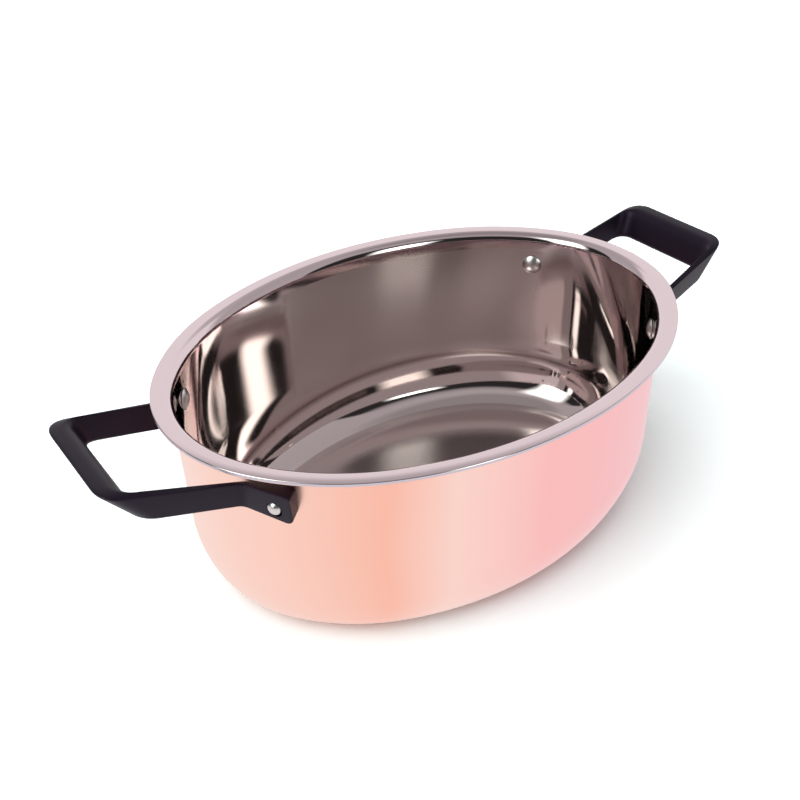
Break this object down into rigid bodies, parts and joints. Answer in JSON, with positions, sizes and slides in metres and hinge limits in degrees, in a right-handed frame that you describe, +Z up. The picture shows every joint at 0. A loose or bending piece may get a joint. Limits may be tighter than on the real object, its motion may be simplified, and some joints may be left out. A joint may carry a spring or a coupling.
{
  "type": "oval casserole",
  "caption": "Open oval copper casserole with a steel-lined three-ply wall, a turned-out flat lip and a riveted black loop handle at each end.",
  "frame": {"origin": "on the underside of the flat base, in the middle of the pot", "axes": "+X along the long axis through both handles, +Y along the short axis away from the camera, +Z up out of the pot"},
  "size_m": [0.3634, 0.208, 0.116],
  "materials": {
    "copper": "polished copper, fine satin",
    "aluminium": "rolled core, seen only as the middle of the cut lip edge",
    "lining_steel": "polished stainless steel, finely brushed inside",
    "handle_black": "satin black coating",
    "rivet_steel": "polished stainless steel heads"
  },
  "bodies": {
    "root": {"copper_outer": "copper", "aluminium_core": "aluminium", "steel_liner": "lining_steel", "handle_left": "handle_black", "handle_right": "handle_black", "rivet_left_front": "rivet_steel", "rivet_left_rear": "rivet_steel", "rivet_right_front": "rivet_steel", "rivet_right_rear": "rivet_steel"}
  },
  "joints": []
}
